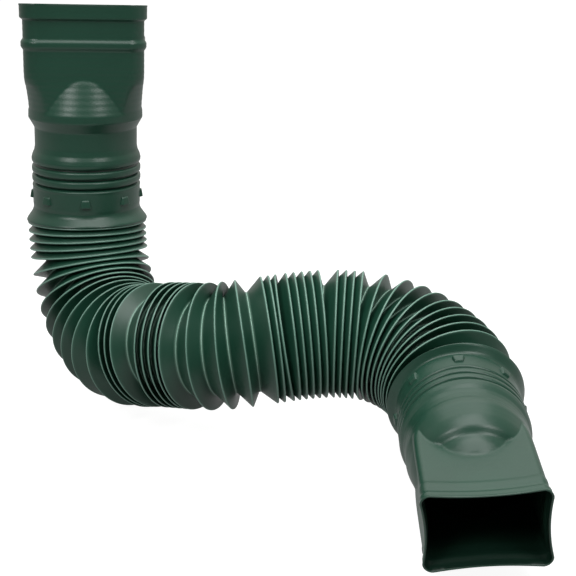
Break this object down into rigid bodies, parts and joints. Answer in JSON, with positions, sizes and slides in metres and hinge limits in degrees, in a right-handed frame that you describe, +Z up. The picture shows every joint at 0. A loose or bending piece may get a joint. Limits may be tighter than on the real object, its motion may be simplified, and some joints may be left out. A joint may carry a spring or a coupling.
{
  "type": "flexible downspout extension",
  "caption": "Dark green blow-moulded bellows hose with a large and a small rectangular mouth, bent into an S, to lead rainwater away from a downspout.",
  "frame": {"origin": "middle of the underside of the part's box, as bent in the picture", "axes": "+Z up along the inlet, which stands on its bend; -Y towards the viewer and out of the outlet mouth; +X from the inlet to the outlet"},
  "size_m": [0.416, 0.4208, 0.3497],
  "materials": {
    "green_plastic": "satin"
  },
  "bodies": {
    "root": {"downspout_extension": "green_plastic"}
  },
  "joints": []
}
